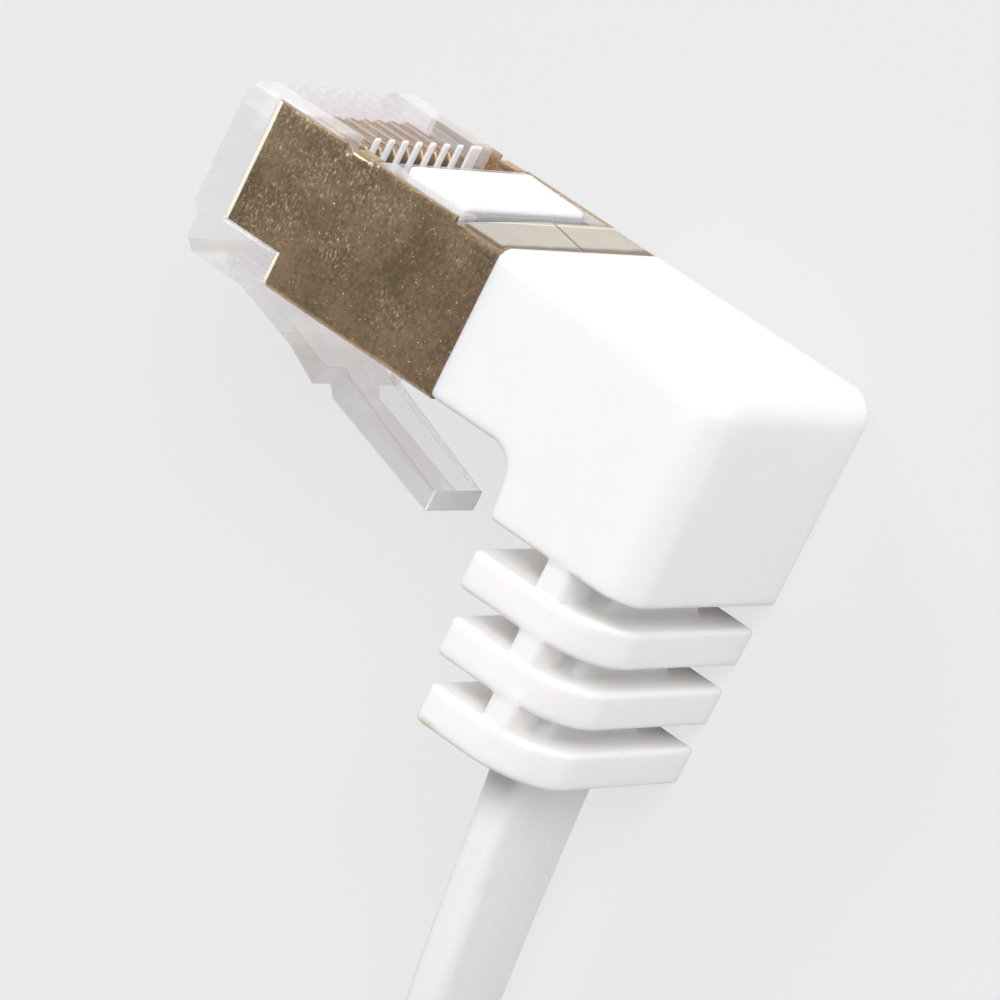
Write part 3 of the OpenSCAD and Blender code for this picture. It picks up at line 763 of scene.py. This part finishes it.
def boot_distance(x, y, z):
    length, half = -BOOT_LOW.x, BOOT_HIGH.z
    far_off = 6.0
    shown_side = z > 0
    shown_rim = TOP_ROUND + (REAR_ROUND - TOP_ROUND) * step_between(x, -length * 0.6, -length * 0.95)
    profile = rounded_rectangle(x, y, (-length, 0), (far_off, BLOCK_FOOT + far_off), REAR_TOP_ROUND)
    solid = extruded(profile, z, half, np.where(shown_side, shown_rim, EDGE_ROUND))
    solid = cut(solid, x, 0.1)
    solid = cut(solid, y - BLOCK_FOOT, 0.1)
    u = NECK_ROUND - (x + NECK_LEN + NECK_LEAN * (y - NECK_FOOT))
    v = NECK_ROUND - (y - NECK_FOOT)
    under_neck = np.hypot(np.maximum(u, 0), np.maximum(v, 0)) + np.minimum(np.maximum(u, v), 0) - NECK_ROUND
    solid = cut(solid, -under_neck, 0.3)
    for i in range(3):
        top = BLOCK_FOOT + RIB_GAP + i * RIB_PITCH
        front = -RIB_FRONT - RIB_STEP * i
        rear = RIB_INSET - length
        corner = np.where(x < (front + rear) / 2, np.where(shown_side, RIB_ROUND, RIB_EDGE), RIB_NOSE)
        plan = rounded_rectangle(x, z, (rear, -half), (front, half), corner)
        rib = extruded(plan, y - top - RIB_T / 2, RIB_T / 2, RIB_RIM)
        gap = RIB_GAP if i == 0 else RIB_PITCH - RIB_T
        web_x = (front + rear + WEB_T) / 2 - RIB_INSET
        web = block(
            x, y, z,
            (web_x - WEB_T, top - gap - 0.6, WEB_INSET - half), (web_x, top + 0.6, half - WEB_INSET), 0.15,
        )
        solid = joined(joined(solid, rib, 0.25), web, 0.1)
    sleeve = CABLE_T / 2 + SLEEVE_WALL
    wide = CABLE_W / 2 + SLEEVE_WALL
    solid = joined(solid, block(
        x, y, z,
        (CABLE_BACK - sleeve, BLOCK_FOOT - 0.5, -wide), (CABLE_BACK + sleeve, BOOT_HIGH.y - 0.5, wide), 0.2,
    ), 0.25)
    low = MOULD_LOW - Vector((1, 1, 1)) * MOULD_FIT
    high = MOULD_HIGH + Vector((1, 1, 1)) * MOULD_FIT
    hollow = block(x, y, z, (low.x, low.y, low.z), (far_off, NECK_FOOT - low.y, high.z), 0.1)
    pit = block(x, y, z, low, (-NECK_LEN - low.y, high.y, high.z), 0.1)
    slot = rounded_rectangle(
        x - CABLE_BACK, z,
        (-CABLE_T / 2 - 0.06, -CABLE_W / 2 - 0.06), (CABLE_T / 2 + 0.06, CABLE_W / 2 + 0.06), CABLE_ROUND,
    )
    bore = np.maximum(slot, high.y - 0.1 - y)
    for space in (hollow, pit, bore):
        solid = np.maximum(solid, -space)
    return solid


boot_mesh = moulded("boot", boot_distance, BOOT_LOW, BOOT_HIGH, 0.16)
boots = {
    end: new_piece(
        end + "_moulded_boot", boot_mesh, BOOT_WHITE, ROOT, [end + "_boot"], PLACES[end]
    )
    for end in ENDS
}


# The clear housing with its comb of slots

PLUG_LEN = NOSE_HIGH.x
PLUG_H = SHIELD_HIGH.y
PLUG_HALF = SHIELD_HIGH.z
SHIELD_LEN = SHIELD_HIGH.x
SHIELD_T = 0.25
FIT = 0.03
COMB_RISE = -NOSE_LOW.y
PITCH = 1.02
SLOT_W = 0.5
SLOT_FOOT = 1.98
FRAME_END = COMB_X - 1.7
HINGE = (PLUG_LEN - 1.4, PLUG_H + 0.8)
BEAD_R = 0.32
RECESS_HALF = 3.22


def nearest_way(z, pitch):
    """Distance across the plug to the nearest of the eight ways."""
    k = np.clip(np.round(z / pitch - 0.5), -4, 3) + 0.5
    return np.abs(z - k * pitch)


def housing_distance(x, y, z):
    core_top, core_foot = SHIELD_T + FIT, PLUG_H - SHIELD_T - FIT
    nose_x = SHIELD_LEN + FIT
    body = outline(x, y, [
        (0, core_top), (BAND_LEN + FIT, core_top), (BAND_LEN + FIT, 0), (FRAME_END, 0),
        (FRAME_END, TROUGH_H), (COMB_X, TROUGH_H), (COMB_X, -COMB_RISE), (nose_x, -COMB_RISE),
        (nose_x, core_foot), (0, core_foot),
    ], 0.08)
    nose = outline(x, y, [
        (nose_x, -COMB_RISE), (PLUG_LEN - 0.3, -COMB_RISE), (PLUG_LEN, 0.3 - COMB_RISE),
        (PLUG_LEN, NOTCH_Y + 0.15), (PLUG_LEN - 0.4, NOTCH_Y + 0.55), (PLUG_LEN - 0.4, PLUG_H),
        (PLUG_LEN - 0.9, PLUG_H + 0.5), (NOTCH_X + 0.8, PLUG_H + 0.5), (NOTCH_X + FIT, PLUG_H),
        (NOTCH_X + FIT, NOTCH_Y + FIT), (nose_x, NOTCH_Y + FIT),
    ], 0.18)
    core_half = PLUG_HALF - SHIELD_T - FIT
    solid = joined(extruded(body, z, core_half, 0.12), extruded(nose, z, PLUG_HALF, 0.2), 0.1)
    cheek = block(
        x, y, z, (HINGE[0], PLUG_H, -3.1), (PLUG_LEN - 0.9, HINGE[1] + BEAD_R / 3, 3.1), 0.1
    )
    solid = joined(solid, cheek, 0.05)
    slot = np.maximum(np.maximum(nearest_way(z, PITCH) - SLOT_W / 2, y - SLOT_FOOT), COMB_X - 1 - x)
    solid = cut(solid, -slot, 0.16)
    seat = block(
        x, y, z, (PAD_LOW.x - FIT, -2, PAD_LOW.z - FIT), (PAD_HIGH.x + FIT, 0.6, PAD_HIGH.z + FIT), 0.05
    )
    solid = cut(solid, -seat, 0.15)
    recess = block(
        x, y, z, (NOTCH_X - 3, PLUG_H + 0.1, -RECESS_HALF), (HINGE[0], PLUG_H + 3, RECESS_HALF), 0.02
    )
    bead = np.maximum(np.hypot(x - HINGE[0], y - HINGE[1]) - BEAD_R - 0.06, np.abs(z) - RECESS_HALF)
    return np.maximum(cut(solid, -recess, 0.06), -bead)


def place_both(piece, mesh, material):
    """The same mesh at both ends, standing for the CAD piece of each plug."""
    found = {}
    for end in ENDS:
        body = end + "_latch_arm" if piece == "latch" else ROOT
        node = f"{end}_{piece}"
        found[end] = new_piece(node + "_piece", mesh, material, body, [node], PLACES[end])
    return found


housing_mesh = moulded(
    "housing", housing_distance, (0, -0.2, -PLUG_HALF), (PLUG_LEN, HINGE[1] + 0.4, PLUG_HALF), 0.095
)
housings = place_both("housing", housing_mesh, CLEAR)


# The clear latch, turned about its hinge

LATCH_SLOPE = math.radians(180 - 15.5)
ARM_HALF = 3.1
ARM_LEN = 5.9
STEP_H = 0.33
TAB_HALF = 1.8
TAB_LEN = 12.4
TAB_DROP = 0.96
TAB_T = 0.84


def latch_distance(x, y, z):
    along = math.cos(LATCH_SLOPE) * (x - HINGE[0]) + math.sin(LATCH_SLOPE) * (y - HINGE[1])
    out = math.sin(LATCH_SLOPE) * (x - HINGE[0]) - math.cos(LATCH_SLOPE) * (y - HINGE[1])
    lean = TAB_T * math.tan(math.pi - LATCH_SLOPE) / 2
    arm = outline(along, out, [
        (0, -BEAD_R), (ARM_LEN, -BEAD_R), (ARM_LEN, BEAD_R + STEP_H), (ARM_LEN - 1.9, BEAD_R), (0, BEAD_R),
    ], 0.05)
    tab = outline(along, out, [
        (ARM_LEN - 0.6, -BEAD_R), (ARM_LEN, -BEAD_R), (ARM_LEN + 0.4, -0.21),
        (TAB_LEN - lean, TAB_DROP - TAB_T), (TAB_LEN + lean, TAB_DROP),
        (ARM_LEN + 0.4, TAB_DROP), (ARM_LEN, BEAD_R + STEP_H), (ARM_LEN - 0.6, 0),
    ], 0.05)
    bead = np.hypot(along, out) - BEAD_R
    arm = np.minimum(arm, bead)
    return joined(extruded(arm, z, ARM_HALF, 0.06), extruded(tab, z, TAB_HALF, 0.06), 0.06)


latches = place_both(
    "latch", moulded("latch", latch_distance, LATCH_LOW, LATCH_HIGH, 0.07), CLEAR
)


# The clamp pad and the contact blades

PAD_TILT = 0.13


def pad_distance(x, y, z):
    flat = outline(x, y, [
        (PAD_LOW.x, PAD_LOW.y + PAD_TILT), (PAD_HIGH.x, PAD_LOW.y), (PAD_HIGH.x, 0.57), (PAD_LOW.x, 0.57),
    ], 0.15)
    top = extruded(flat, z, PAD_HIGH.z, 0.15)
    foot = block(
        x, y, z,
        (PAD_LOW.x + 0.43, 0, PAD_LOW.z + 0.43), (PAD_HIGH.x - 0.43, PAD_HIGH.y, PAD_HIGH.z - 0.43), 0.1,
    )
    return joined(top, foot, 0.1)


pad_mesh = moulded("clamp_pad", pad_distance, PAD_LOW, PAD_HIGH, 0.12)
pads = place_both("clamp_pad", pad_mesh, PAD_WHITE)

BLADE_LOW, BLADE_HIGH = plug_box("contact_1")
BLADE_FOOT = 1.95


def blade_distance(x, y, z):
    x0, x1, top = BLADE_LOW.x, BLADE_HIGH.x, BLADE_LOW.y
    flat = [(x0, top + 0.35), (x0 + 0.35, top), (x1 - 0.35, top), (x1, top + 0.35), (x1, BLADE_FOOT)]
    for tooth in (x1 - 0.9, x0 + 0.9):
        flat += [(tooth + 0.3, BLADE_FOOT), (tooth, BLADE_HIGH.y), (tooth - 0.3, BLADE_FOOT)]
    flat.append((x0, BLADE_FOOT))
    return extruded(outline(x, y, flat), z, (BLADE_HIGH.z - BLADE_LOW.z) / 2, 0.12)


blade_half = Vector((0, 0, (BLADE_HIGH.z - BLADE_LOW.z) / 2))
blade_flat = Vector((1, 1, 0))
blade_low = BLADE_LOW * blade_flat - blade_half
blade_high = BLADE_HIGH * blade_flat + blade_half
blade_mesh = moulded("contact_blade", blade_distance, blade_low, blade_high, 0.06)
for end in ENDS:
    for i in WAYS:
        across = Matrix.Translation((0, 0, (i - 4.5) * PITCH * MM))
        new_piece(
            f"{end}_blade_{i}", blade_mesh, CONTACT_GOLD, ROOT, [f"{end}_contact_{i}"],
            PLACES[end] @ across,
        )


# The gold shield, folded from sheet

BEND = 0.3
SEAM_HALF = 0.05
FLAP_SKEW = 0.45
SHEET_STEP = 0.3
LIP_X = (FRAME_END + FIT, COMB_X - 0.8)
NICK_X = (COMB_X - 0.8, COMB_X - 0.3)


def spread(first, last):
    return np.linspace(first, last, max(2, math.ceil(abs(last - first) / SHEET_STEP) + 1))


def line(start, stop):
    """Points from one (y, z) to another."""
    n = max(2, math.ceil(math.dist(start, stop) / SHEET_STEP) + 1)
    return [tuple(p) for p in np.linspace(start, stop, n)]


def fold(centre, first, last):
    """Points round a bend from one angle to another, in degrees, where 0 points across and 90 down."""
    return [
        (centre[0] + BEND * math.sin(math.radians(a)), centre[1] + BEND * math.cos(math.radians(a)))
        for a in np.linspace(first, last, 6)
    ]


def shield_panels(lag):
    """The panels of one half of the shield: where each runs along the plug, and its (y, z) points."""
    side, foot = PLUG_HALF, PLUG_H
    top_bend, foot_bend = (BEND, side - BEND), (foot - BEND, side - BEND)
    strip = RECESS_HALF
    yield (0, BAND_LEN - lag), line((0, 0), (0, side - BEND)) + fold(top_bend, -90, 0)[1:]
    yield (BAND_LEN - lag, LIP_X[0]), line((0, side), (BEND, side))
    yield LIP_X, line((0, side - 1), (0, side - BEND)) + fold(top_bend, -90, 0)[1:]
    yield (NICK_X[1], SHIELD_LEN), line((0, side), (BEND, side))
    yield (0, SHIELD_LEN), line((BEND, side), (NOTCH_Y, side))
    yield (0, NOTCH_X), line((NOTCH_Y, side), (foot - BEND, side)) + fold(foot_bend, 0, 90)[1:]
    yield (0, NOTCH_X), line((foot, side - BEND), (foot, strip))
    yield (0, BAND_LEN), line((foot, strip), (foot, 0))


def dent(x, y):
    """How far the sheet's sides are out of flat."""
    waves = 0.012 * np.sin(1.3 * x + 0.8 * y) + 0.010 * np.sin(2.1 * x - 1.7 * y + 1)
    knock = -0.10 * np.exp(-((x - 6.7) ** 2 + (y - 0.25) ** 2) / 0.12)
    crimp = -0.12 * np.exp(-((x - 2.2) ** 2 + (y - 0.1) ** 2) / 0.05)
    return waves + knock + crimp


def sheet_stops(lag):
    """Where along the plug the sheet has rows of points, the same in all its panels."""
    ends = [BAND_LEN - lag, BAND_LEN, *LIP_X, NICK_X[1], NOTCH_X]
    between = [v for v in spread(0, SHIELD_LEN) if min(abs(v - e) for e in ends) > 0.09]
    return sorted({*between, *ends})


def shield_mesh():
    bm = bmesh.new()
    for half, lag in ((1, 0), (-1, 0.1)):
        for (first, last), profile in shield_panels(lag):
            stops = [v for v in sheet_stops(lag) if first - 0.001 < v < last + 0.001]
            rows = []
            for x in stops:
                row = []
                for y, z in profile:
                    out = dent(x, y) if z > PLUG_HALF - 0.01 and half > 0 else 0.0
                    across, along = half * (z + out), x
                    if y < BEND and x < BAND_LEN + 0.01 and profile[0] == (0, 0):
                        across += (half * SEAM_HALF + seam_middle(x)) * (1 - z / PLUG_HALF)
                        along -= x / BAND_LEN * FLAP_SKEW * max(half, 0) * z / PLUG_HALF
                    row.append(bm.verts.new(Vector((along, y, across)) * MM))
                rows.append(row)
            for a, b in zip(rows, rows[1:]):
                for k in range(len(profile) - 1):
                    corners = (a[k], a[k + 1], b[k + 1], b[k])
                    bm.faces.new(corners if half > 0 else corners[::-1])
    bmesh.ops.remove_doubles(bm, verts=bm.verts, dist=0.02 * MM)
    bmesh.ops.recalc_face_normals(bm, faces=bm.faces)
    mesh = bpy.data.meshes.new("shield")
    bm.to_mesh(mesh)
    mesh.polygons.foreach_set("use_smooth", [True] * len(mesh.polygons))
    return mesh


sheet = shield_mesh()
sheet.materials.append(SHIELD_GOLD)
sheet.materials.append(EDGE_GOLD)
shields = place_both("shield", sheet, SHIELD_GOLD)
for piece in shields.values():
    wall = piece.modifiers.new("sheet", "SOLIDIFY")
    wall.thickness = SHIELD_T * MM
    wall.offset = -1
    wall.use_even_offset = True
    wall.material_offset_rim = 1
    edge = piece.modifiers.new("edges", "BEVEL")
    edge.width = 0.09 * MM
    edge.material = 1
    edge.segments = 2
    edge.angle_limit = math.radians(50)
    normals = piece.modifiers.new("flats", "WEIGHTED_NORMAL")
    normals.keep_sharp = True


# The eight wires inside each plug

WIRE_R = 0.35
WIRE_Y = 3.2
WIRE_END = PLUG_LEN - 2.53
WIRE_PITCH = 0.72
WIRE_BEND = 1.5
BOSS_LEN = 2.5


def wire_path(i):
    z0, z1 = (i - 4.5) * PITCH, (i - 4.5) * WIRE_PITCH
    bend_x = CABLE_BACK + WIRE_BEND
    points = [(x, WIRE_Y, z0) for x in (WIRE_END, 7, 3, 0, -BOSS_LEN)]
    for s in np.linspace(0.1, 1, 10):
        gathered = (1 - math.cos(math.pi * s)) / 2
        points.append((-BOSS_LEN + (bend_x + BOSS_LEN) * s, WIRE_Y, z0 + (z1 - z0) * gathered))
    for a in np.linspace(0, math.pi / 2, 8)[1:]:
        points.append((bend_x - WIRE_BEND * math.sin(a), WIRE_Y + WIRE_BEND * (1 - math.cos(a)), z1))
    points.append((CABLE_BACK, WIRE_HIGH.y, z1))
    return np.array(points) * MM


wire_turn = np.linspace(0, 2 * math.pi, 13)[:-1]
round_wire = [(WIRE_R * MM * math.cos(a), WIRE_R * MM * math.sin(a)) for a in wire_turn]
for i in WAYS:
    wire_mesh = new_mesh(f"wire_{i}", *swept(wire_path(i), round_wire))
    for end in ENDS:
        new_piece(
            f"{end}_cored_wire_{i}", wire_mesh, WIRES[i - 1], ROOT, [f"{end}_wire_{i}"],
            PLACES[end],
        )


# The ties round the coil, each a strap with one end lapped over the other

TIE_ANGLES = (150, 300)
TIE_T = 0.45
TIE_PLY = 0.25
TIE_HALF = 1.5
TIE_GAP = 0.1


def make_tie(i, angle):
    past = (math.radians(angle) - COIL_START) / (2 * math.pi)
    slack = CABLE_T / 2 + COIL_PITCH / 10 + TIE_GAP
    outer = COIL_RADIUS - COIL_PITCH * past + slack
    inner = COIL_RADIUS - COIL_PITCH * (past + math.floor(COIL_TURNS - past)) - slack
    foot, head = COIL_LIFT - TIE_GAP, COIL_LIFT + CABLE_W + TIE_GAP

    def strap_distance(x, y, z):
        def ring(ply):
            return rounded_rectangle(x, z, (inner - ply, foot - ply), (outer + ply, head + ply), 0.5 + ply)

        lapped = np.maximum(ring(TIE_T), np.maximum((inner + outer) / 2 - x, head - 1.5 - z))
        strap = cut(np.minimum(ring(TIE_PLY), lapped), -ring(0), 0.08)
        return extruded(strap, y, TIE_HALF, 0.1)

    low = (inner - TIE_T, -TIE_HALF, foot - TIE_T)
    high = (outer + TIE_T, TIE_HALF, head + TIE_T)
    mesh = moulded(f"tie_{i}", strap_distance, low, high, 0.13)
    centre = Vector((coil_middle[0], coil_middle[1], 0)) * MM
    place = Matrix.Translation(centre) @ Matrix.Rotation(math.radians(angle), 4, "Z")
    return new_piece(f"tie_strap_{i}", mesh, TIE_WHITE, ROOT, [f"tie_{i}"], place)


ties = [make_tie(i, angle) for i, angle in enumerate(TIE_ANGLES, 1)]


# CAD nodes that keep their shape

for end in ENDS:
    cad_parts[f"{end}_inner_mould"].data.materials[0] = MOULD_WHITE


# Floor, world and lamps

def make_floor():
    half = 3.0
    corners = [(-half, -half, 0), (half, -half, 0), (half, half, 0), (-half, half, 0)]
    mesh = new_mesh("floor", corners, [(0, 1, 2, 3)])
    material, f = new_finish("floor_pale")
    lit = f.principled({"Base Color": grey(0.8), "Roughness": 0.9, "Specular IOR Level": 0.0})
    plain = f.node("Emission", sockets={"Color": grey(0.82), "Strength": 1.0})
    seen = f.node("LightPath", output="Is Camera Ray")
    through = f.node("LightPath", output="Is Transmission Ray")
    shown = f.maths("MAXIMUM", seen, through)
    f.show(f.node("MixShader", sockets={0: shown * 0.85, 1: lit, 2: plain}))
    mesh.materials.append(material)
    floor = bpy.data.objects.new("floor", mesh)
    bpy.context.scene.collection.objects.link(floor)


def make_world():
    world = bpy.data.worlds.new("studio")
    world.use_nodes = True
    bpy.context.scene.world = world
    f = Finish(world.node_tree)
    direction = f.node("TexCoord", output="Generated")
    height = Field(f, f.node("SeparateXYZ", sockets={0: direction}).socket.node.outputs["Z"])
    sky = f.mix(f.ramp(height, 0.15, 0.8), (0.62, 0.635, 0.66, 1), grey(0.25))
    seen = f.node("LightPath", output="Is Camera Ray")
    through = f.node("LightPath", output="Is Transmission Ray")
    shown = f.mix(f.maths("MAXIMUM", seen, through), sky, grey(0.85))
    background = f.node("Background", sockets={"Color": shown, "Strength": 1.0})
    f.node("OutputWorld", sockets={"Surface": background})


def add_lamp(name, at, size, power):
    data = bpy.data.lights.new(name, "AREA")
    data.shape = "DISK"
    data.size = size
    data.energy = power
    data.color = (0.985, 0.99, 1.0)
    lamp = bpy.data.objects.new(name, data)
    lamp.location = at
    lamp.rotation_mode = "QUATERNION"
    lamp.rotation_quaternion = (near_origin - lamp.location).to_track_quat("-Z", "Y")
    lamp.visible_camera = False
    bpy.context.scene.collection.objects.link(lamp)


make_floor()
make_world()
add_lamp("key", Vector((-0.20, -0.40, 0.53)), 0.4, 3.5)
add_lamp("front", Vector((0.40, -0.30, 0.45)), 0.3, 1.55)
bpy.context.scene.view_settings.view_transform = "Standard"
bpy.context.scene.cycles.transparent_max_bounces = 24
